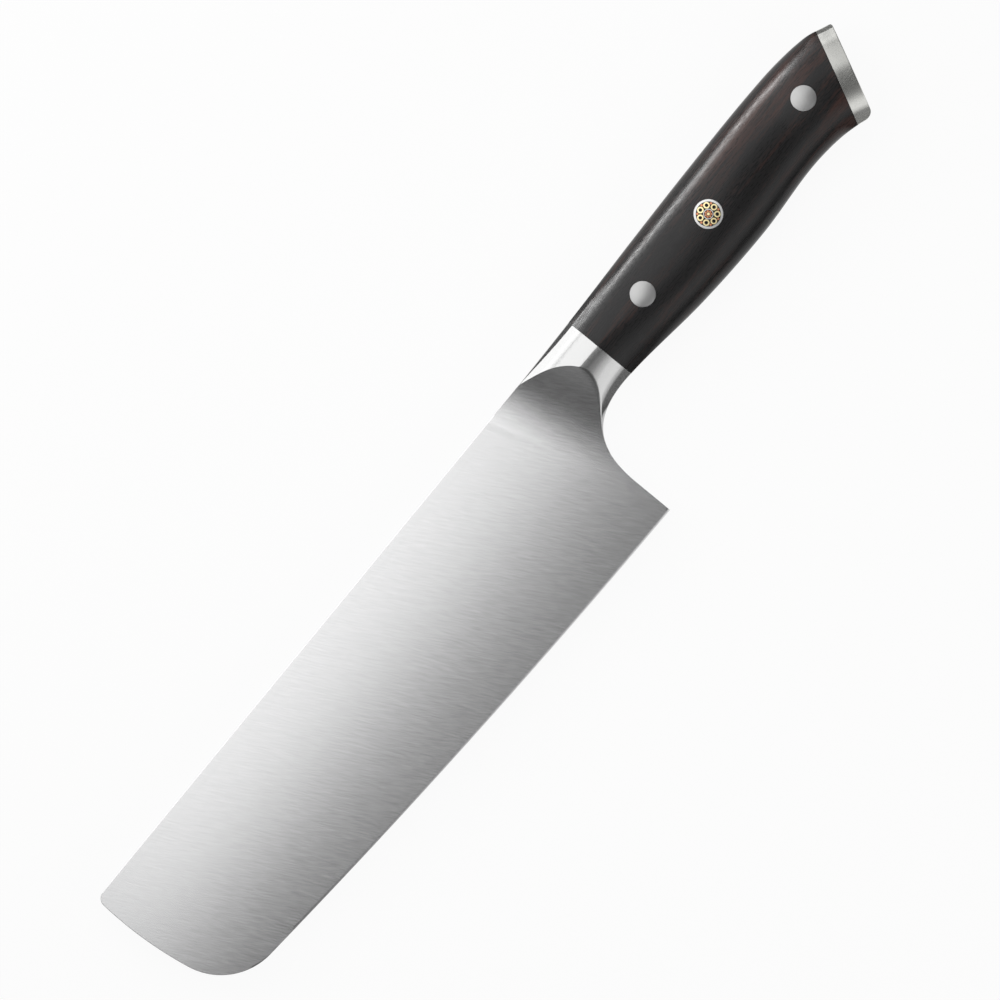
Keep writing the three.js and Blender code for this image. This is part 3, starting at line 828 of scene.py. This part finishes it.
woodPoints, woodOuter, woodInner, woodWalls = backedSheet(scaleGrid(), tangHalf + scales["innerGap"])
woodFaces = woodOuter + woodInner + woodWalls
pinGround = meshObject("pinGround", woodPoints, woodFaces, [ebony])  # the pins' ends are ground to this
woodOnly = bpy.data.collections.new("woodOnly")
for name, side, cadNode in (
    ("scaleLeft", woodPoints, "scale_left"), ("scaleRight", mirrored(woodPoints), "scale_right"),
):
    piece = meshObject(name, side, woodFaces, [ebony], creaseAngle=scales["crease"])
    cutHoles(piece)
    woodOnly.objects.link(piece)
    standFor(piece, "ebony", cadNode)
print("scales")

# butt cap


def makeCap():
    turn = np.linspace(0, 1, cap["turns"] + 1)
    rim = cap["rim"]
    share = np.cos(np.pi * turn)
    # the end is rounded where it meets the spine and the belly
    corner = np.where(share > 0, cap["spineCorner"], cap["bellyCorner"])
    inside = (1 - np.abs(share)) * sideReach(np.full_like(turn, cap["length"] - cap["thickness"]), share)
    back = corner * (1 - np.sqrt(1 - np.clip(1 - inside / corner, 0, 1) ** 2))

    def crossing(depth):
        return cap["length"] + depth / math.cos(cap["tilt"])

    def leftLine(depths, inset):
        line = leanedPoint(crossing(depths), cap["tilt"], turn)
        middle = leanedPoint(crossing(depths), cap["tilt"], np.full_like(turn, 0.5))
        middle[:, 2] = 0
        way = middle - line
        return line + way * (inset / np.linalg.norm(way, axis=1))[:, None]

    lines = []
    for s in np.linspace(0, 1, cap["depthSteps"] + 1)[:-1]:
        depths = (cap["thickness"] - rim - back) * s - cap["thickness"]
        lines.append(leftLine(depths, np.zeros_like(turn)))
    for s in np.linspace(0, 1, cap["rimSteps"] + 1):
        angle = s * math.pi / 2
        lines.append(leftLine(rim * (math.sin(angle) - 1) - back, rim * (1 - math.cos(angle))))

    # from the left side to the right, close-set beside the edges
    across = np.array(cap["across"])[:, None]

    def strip(point):
        return point * np.concatenate([np.ones_like(across), np.ones_like(across), across], axis=1)

    loops = [
        np.concatenate([line, strip(line[-1])[1:-1], mirrored(line)[::-1], strip(line[0])[-2:0:-1]])
        for line in lines
    ]
    count = len(loops[0])
    points = [np.concatenate(loops)]
    faces = []
    for i in range(len(loops) - 1):
        for j in range(count):
            a, b = i * count + j, i * count + (j + 1) % count
            faces.append((a, b, b + count, a + count))
    start = len(loops) * count
    for end in (lines[0], lines[-1]):
        face = np.concatenate([strip(point) for point in end])
        points.append(face)
        faces += gridFaces(len(turn), len(across), start)
        start += len(face)
    metals = [finish["capSteel"]]
    return meshObject("buttCap", np.concatenate(points), faces, metals, creaseAngle=cap["crease"])


standFor(makeCap(), "polished_steel", "butt_cap")
print("butt cap")

# rivets and mosaic pin: rods through the handle, ground to the wood's surface

rodStock = {"depth": 0.01, "rayFrom": 0.2, "rayLength": 1.0, "crease": 40}  # lengths in metres


def pinTree():
    tree = bpy.data.node_groups.new("groundRods", "GeometryNodeTree")
    sockets = {}
    for name, kind in (
        ("Count", "NodeSocketInt"), ("Pitch", "NodeSocketFloat"), ("Turn", "NodeSocketFloat"),
        ("Radius", "NodeSocketFloat"), ("Bore", "NodeSocketFloat"), ("Sides", "NodeSocketInt"),
        ("Rings", "NodeSocketInt"), ("Dome", "NodeSocketFloat"), ("Centre", "NodeSocketVector"),
        ("Ground", "NodeSocketObject"), ("Finish", "NodeSocketMaterial"),
    ):
        sockets[name] = tree.interface.new_socket(name, in_out="INPUT", socket_type=kind).identifier
    tree.interface.new_socket("Geometry", in_out="OUTPUT", socket_type="NodeSocketGeometry")
    entry = tree.nodes.new("NodeGroupInput").outputs
    link = tree.links.new

    def maths(operation, *values):
        return combined(tree, operation, *values)

    def vector(*values):
        made = tree.nodes.new("ShaderNodeCombineXYZ")
        feed(tree, made.inputs, values)
        return made.outputs[0]

    def parts(value):
        made = tree.nodes.new("ShaderNodeSeparateXYZ")
        link(value, made.inputs[0])
        return made.outputs

    # places round the pin's axis
    spots = tree.nodes.new("GeometryNodePoints")
    link(entry["Count"], spots.inputs["Count"])
    index = tree.nodes.new("GeometryNodeInputIndex").outputs[0]
    lap = maths("DIVIDE", maths("ADD", index, entry["Turn"]), entry["Count"])
    angle = maths("MULTIPLY", lap, 2 * math.pi)
    centre = parts(entry["Centre"])
    link(vector(
        maths("MULTIPLY_ADD", maths("COSINE", angle), entry["Pitch"], centre[0]),
        maths("MULTIPLY_ADD", maths("SINE", angle), entry["Pitch"], centre[1]),
        centre[2],
    ), spots.inputs["Position"])

    # a solid rod, or a tube where there is a bore
    rod = node(tree, "GeometryNodeMeshCylinder", fill_type="TRIANGLE_FAN", Depth=rodStock["depth"])
    link(entry["Sides"], rod.inputs["Vertices"])
    link(entry["Rings"], rod.inputs["Fill Segments"])
    link(entry["Radius"], rod.inputs["Radius"])
    circle = tree.nodes.new("GeometryNodeCurvePrimitiveCircle")
    link(entry["Sides"], circle.inputs["Resolution"])
    link(maths("MULTIPLY", maths("ADD", entry["Radius"], entry["Bore"]), 0.5), circle.inputs["Radius"])
    wall = tree.nodes.new("GeometryNodeCurvePrimitiveQuadrilateral")
    link(maths("SUBTRACT", entry["Radius"], entry["Bore"]), wall.inputs["Width"])
    wall.inputs["Height"].default_value = rodStock["depth"]
    tube = tree.nodes.new("GeometryNodeCurveToMesh")
    link(circle.outputs["Curve"], tube.inputs["Curve"])
    link(wall.outputs["Curve"], tube.inputs["Profile Curve"])
    choose = node(tree, "GeometryNodeSwitch", input_type="GEOMETRY")
    link(maths("GREATER_THAN", entry["Bore"], 0.0), choose.inputs["Switch"])
    link(rod.outputs["Mesh"], choose.inputs["False"])
    link(tube.outputs["Mesh"], choose.inputs["True"])
    scatter = tree.nodes.new("GeometryNodeInstanceOnPoints")
    link(spots.outputs[0], scatter.inputs["Points"])
    link(choose.outputs[0], scatter.inputs["Instance"])
    real = tree.nodes.new("GeometryNodeRealizeInstances")
    link(scatter.outputs[0], real.inputs[0])

    # both ends follow the wood
    place = parts(tree.nodes.new("GeometryNodeInputPosition").outputs[0])
    ground = tree.nodes.new("GeometryNodeObjectInfo")
    link(entry["Ground"], ground.inputs["Object"])
    ray = tree.nodes.new("GeometryNodeRaycast")
    link(ground.outputs["Geometry"], ray.inputs["Target Geometry"])
    link(vector(place[0], place[1], rodStock["rayFrom"]), ray.inputs["Source Position"])
    ray.inputs["Ray Direction"].default_value = (0, 0, -1)
    ray.inputs["Ray Length"].default_value = rodStock["rayLength"]
    hit = parts(ray.outputs["Hit Position"])
    fromX = maths("SUBTRACT", place[0], centre[0])
    fromY = maths("SUBTRACT", place[1], centre[1])
    away = maths("ADD", maths("MULTIPLY", fromX, fromX), maths("MULTIPLY", fromY, fromY))
    share = maths("DIVIDE", away, maths("MULTIPLY", entry["Radius"], entry["Radius"]))
    lift = maths("MULTIPLY", entry["Dome"], maths("SUBTRACT", 1.0, share))
    up = maths("SUBTRACT", maths("ADD", hit[2], lift), centre[2])
    way = maths("SIGN", maths("SUBTRACT", place[2], centre[2]))
    height = maths("MULTIPLY_ADD", way, up, centre[2])
    seat = tree.nodes.new("GeometryNodeSetPosition")
    link(real.outputs[0], seat.inputs["Geometry"])
    link(vector(place[0], place[1], height), seat.inputs["Position"])
    dress = tree.nodes.new("GeometryNodeSetMaterial")
    link(seat.outputs[0], dress.inputs["Geometry"])
    link(entry["Finish"], dress.inputs["Material"])
    link(dress.outputs[0], tree.nodes.new("NodeGroupOutput").inputs[0])
    return tree, sockets


groundRods, rodSockets = pinTree()


def rods(name, slotName, cadNodes, x, finishName, radius, sides, **other):
    shape = {"count": 1, "pitch": 0.0, "turn": 0.0, "bore": 0.0, "rings": 1, "dome": 0.0, **other}
    piece = bpy.data.objects.new(name, bpy.data.meshes.new(name))
    bpy.context.scene.collection.objects.link(piece)
    modifier = piece.modifiers.new("rods", "NODES")
    modifier.node_group = groundRods
    values = {
        "Count": shape["count"], "Pitch": shape["pitch"] * mm, "Turn": shape["turn"], "Radius": radius * mm,
        "Bore": shape["bore"] * mm, "Sides": sides, "Rings": shape["rings"],
        "Dome": shape["dome"] * mm, "Centre": tuple(toFrame((x, -pins["drop"], 0))),
        "Ground": pinGround, "Finish": finish[finishName],
    }
    for key, value in values.items():
        modifier[rodSockets[key]] = value
    bakeModifiers(piece, rodStock["crease"])
    standFor(piece, slotName, *cadNodes)


rivet = {"sides": 72, "rings": 14, "dome": 0.22}

for name, x in (("front", pins["frontAt"]), ("rear", pins["rearAt"])):
    cadNodes = (name + "_rivet_socket", name + "_rivet_stud")
    rods(name + "Rivet", "satin_steel", cadNodes, x, "rivetSteel", pins["rivet"] / 2, **rivet)

mosaic = {
    "wall": 0.6, "count": 7, "gap": 0.3, "tubeWall": 0.4, "sleeveWall": 0.22, "coreCount": 7, "film": 0.1,
    "outerSides": 96, "tubeSides": 36, "wireSides": 20, "sleeveSides": 48, "coreSides": 24,
    "resinRings": 10, "resinDip": 0.02,
}


def ringRadius(bore, count, gap):
    # rods that fill a ring inside a bore, with a gap between neighbours
    half = math.sin(math.pi / count)
    return ((bore / 2 - mosaic["film"]) * half - gap / 2) / (1 + half)


def makeMosaicPin():
    at = pins["mosaicAt"]
    film, count, coreCount = mosaic["film"], mosaic["count"], mosaic["coreCount"]
    numbered = range(1, count + 1)
    coreNumbered = range(1, coreCount + 1)
    innerWall = pins["mosaic"] - 2 * mosaic["wall"]
    tubeRadius = ringRadius(innerWall, count, mosaic["gap"])
    tubePitch = innerWall / 2 - film - tubeRadius
    # wires touch the wall and both neighbouring tubes, but for the film
    wallReach = innerWall / 2 - film
    forward = tubePitch * math.cos(math.pi / count)
    room = wallReach ** 2 + tubePitch ** 2 - 2 * wallReach * forward - (tubeRadius + film) ** 2
    wireRadius = room / (2 * (wallReach - forward + tubeRadius + film))
    sleeveRadius = tubePitch - tubeRadius - film
    sleeveBore = sleeveRadius - mosaic["sleeveWall"]
    coreRadius = ringRadius(2 * sleeveBore, coreCount, film)
    corePitch = sleeveBore - film - coreRadius
    rods(
        "mosaicTube", "satin_steel", ("mosaic_tube",), at, "tubeSteel", pins["mosaic"] / 2,
        bore=innerWall / 2, sides=mosaic["outerSides"],
    )
    resinNodes = ("mosaic_resin", "mosaic_core_resin", *(f"mosaic_bore_resin_{k}" for k in numbered))
    rods(
        "mosaicResin", "resin", resinNodes, at, "blackResin", innerWall / 2,
        sides=mosaic["outerSides"], rings=mosaic["resinRings"], dome=-mosaic["resinDip"],
    )
    rods(
        "mosaicBrassTubes", "brass", [f"mosaic_brass_tube_{k}" for k in numbered], at, "brass", tubeRadius,
        count=count, pitch=tubePitch, bore=tubeRadius - mosaic["tubeWall"], sides=mosaic["tubeSides"],
    )
    rods(
        "mosaicCopperWires", "copper", [f"mosaic_copper_wire_{k}" for k in numbered], at, "copper",
        wireRadius, count=count, pitch=wallReach - wireRadius, turn=0.5, sides=mosaic["wireSides"],
    )
    rods(
        "mosaicCoreSleeve", "satin_steel", ("mosaic_core_sleeve",), at, "tubeSteel", sleeveRadius,
        bore=sleeveBore, sides=mosaic["sleeveSides"],
    )
    rods(
        "mosaicCoreWires", "copper", [f"mosaic_core_copper_{k}" for k in coreNumbered], at, "copper",
        coreRadius, count=coreCount, pitch=corePitch, sides=mosaic["wireSides"],
    )
    rods(
        "mosaicCoreBrass", "brass", ("mosaic_core_brass",), at, "brass", corePitch - coreRadius - film,
        sides=mosaic["coreSides"],
    )


makeMosaicPin()
bpy.data.objects.remove(pinGround)
print("rivets and mosaic pin")

# floor, light and camera

studio = {
    "floor": (0.93, 0.93, 0.93, 1), "floorRough": 0.9, "floorGloss": 0.1, "whiteness": 0.93,
    "floorSize": 9.0, "floorGap": 0.0005,  # metres
    "world": ((0.02, 0.08), (0.25, 0.1), (0.4, 0.3), (0.5, 0.3), (0.84, 0.1)),
    "lens": 900.0, "sensor": 36.0, "frameWidth": 270.0, "aim": (-48.75, -15.7, 0),
    "right": (0.63446, -0.77296, 0), "up": (0.77296, 0.63446, 0), "overhead": 0.99,
}
# centre, target, width, height and the brightness of the face
lamps = {
    "keyBox": ((-102, 229, 500), (-102, 229, 0), 285, 542, 1.66),
    "keyEdge": ((-55, -96, 500), (-55, -96, 0), 226, 108, 0.21),
    "handleBox": ((95, 285, 500), (95, 285, 0), 110, 430, 1.5),
    "buttBox": ((275, 268, 500), (275, 268, 0), 250, 465, 0.85),
    "sideBox": ((-25, 479, 297), (-25, 0, 5), 550, 220, 1.82),
    "capBox": ((340, 479, 297), (340, 0, 5), 180, 220, 1.3),
    "fillBox": ((50, -383, 321), (50, -10, 5), 400, 364, 0.5),
    "fillCore": ((50, -376, 328), (50, -10, 5), 400, 194, 0.6),
    "farBox": ((-620, 467, 278), (-45, -15, 5), 500, 500, 0.65),
    "nearBox": ((530, -497, 278), (-45, -15, 5), 500, 500, 0.65),
    "endBox": ((-840, -15, 150), (-45, -15, 5), 500, 280, 0.6),
    "fillSoft": ((-10, -260, 438), (-10, -10, 5), 220, 176, 0.24),
    "woodStrip": ((35, 482, 195), (35, 0, 5), 230, 85, 28.0),
}


def makeFloor():
    half = studio["floorSize"]
    mesh = bpy.data.meshes.new("floor")
    corners = [(-half, -half, 0), (half, -half, 0), (half, half, 0), (-half, half, 0)]
    mesh.from_pydata(corners, [], [(0, 1, 2, 3)])
    paper, tree, shader = newMaterial("paper", **{
        "Base Color": studio["floor"], "Roughness": studio["floorRough"],
        "Specular IOR Level": studio["floorGloss"],
    })
    # nearly white to the camera and in reflections; the rest takes the shadow
    path = node(tree, "ShaderNodeLightPath").outputs
    seen = combined(tree, "MAXIMUM", path["Is Camera Ray"], path["Is Glossy Ray"])
    seen = combined(tree, "MAXIMUM", seen, path["Is Transmission Ray"])
    white = node(tree, "ShaderNodeEmission", Strength=1.0)
    mix = node(tree, "ShaderNodeMixShader")
    feed(tree, mix.inputs, (
        combined(tree, "MULTIPLY", seen, studio["whiteness"]), shader.outputs[0], white.outputs[0],
    ))
    tree.links.new(mix.outputs[0], tree.nodes["Material Output"].inputs["Surface"])
    mesh.materials.append(paper)
    made = bpy.data.objects.new("floor", mesh)
    made.location.z = cadBox[0][2] - studio["floorGap"]
    bpy.context.scene.collection.objects.link(made)


def faced(right, up, back, spot):
    return Matrix((*((right[k], up[k], back[k], spot[k]) for k in range(3)), (0, 0, 0, 1)))


def softbox(name, centre, target, across, tall, glow):
    lamp = bpy.data.lights.new(name, "AREA")
    lamp.shape = "RECTANGLE"
    lamp.size = across * mm
    lamp.size_y = tall * mm
    lamp.energy = glow * math.pi * lamp.size * lamp.size_y
    made = bpy.data.objects.new(name, lamp)
    bpy.context.scene.collection.objects.link(made)
    spot = Vector(toFrame(centre))
    back = (spot - Vector(toFrame(target))).normalized()
    level = (0, 1, 0) if abs(back.z) > studio["overhead"] else (0, 0, 1)
    right = Vector(level).cross(back).normalized()
    made.matrix_world = faced(right, back.cross(right), back, spot)
    made.visible_camera = False
    return made


def makeWorld():
    # dim overhead and at the horizon, so that metal has something dark to show
    world = bpy.data.worlds.new("studio")
    bpy.context.scene.world = world
    world.use_nodes = True
    tree = world.node_tree
    way = node(tree, "ShaderNodeTexCoord")
    split = node(tree, "ShaderNodeSeparateXYZ")
    tree.links.new(way.outputs["Generated"], split.inputs[0])
    glow = node(tree, "ShaderNodeValToRGB")
    stops = glow.color_ramp.elements
    for place, level in studio["world"]:
        stop = stops.new(place)
        stop.color = (level, level, level, 1)
    stops.remove(stops[len(stops) - 1])
    stops.remove(stops[0])
    tree.links.new(split.outputs["Z"], glow.inputs["Fac"])
    tree.links.new(glow.outputs["Color"], tree.nodes["Background"].inputs["Color"])
    tree.nodes["Background"].inputs["Strength"].default_value = 1.0


def makeCamera():
    lens = bpy.data.cameras.new("camera")
    lens.lens = studio["lens"]
    lens.sensor_width = studio["sensor"]
    made = bpy.data.objects.new("camera", lens)
    bpy.context.scene.collection.objects.link(made)
    away = studio["lens"] / lens.sensor_width * studio["frameWidth"]
    eye = toFrame(np.array(studio["aim"]) + np.array([0, 0, away]))
    made.matrix_world = faced(studio["right"], studio["up"], (0, 0, 1), eye)
    bpy.context.scene.camera = made


makeFloor()
lampObjects = {name: softbox(name, *values) for name, values in lamps.items()}
lampObjects["woodStrip"].light_linking.receiver_collection = woodOnly
makeWorld()
makeCamera()
bpy.context.scene.view_settings.view_transform = "Standard"
print("stage")
